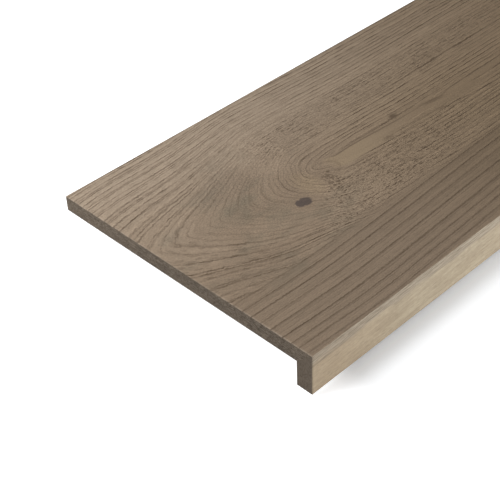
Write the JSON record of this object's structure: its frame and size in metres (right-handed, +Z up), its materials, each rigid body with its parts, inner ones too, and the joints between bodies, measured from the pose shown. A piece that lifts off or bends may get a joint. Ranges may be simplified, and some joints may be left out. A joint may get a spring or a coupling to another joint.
{
  "type": "stair tread",
  "caption": "Flat oak stair-cladding tread with a square nosing strip mitred and glued along its front edge.",
  "frame": {"origin": "on the floor, under the middle of the tread as it rests", "axes": "+X along the tread and its grain, +Y from the nosing to the back edge, +Z up. The tread rests on the nosing's back foot edge and the board's lower back edge, so its top falls 5.2 degrees towards the back"},
  "size_m": [1, 0.2924, 0.0412],
  "materials": {
    "tread_oak": "brushed, grey-brown oiled oak, matt",
    "nosing_oak": "brushed, grey-brown oiled oak, matt"
  },
  "bodies": {
    "root": {"tread_board": "tread_oak", "nosing_strip": "nosing_oak"}
  },
  "joints": []
}
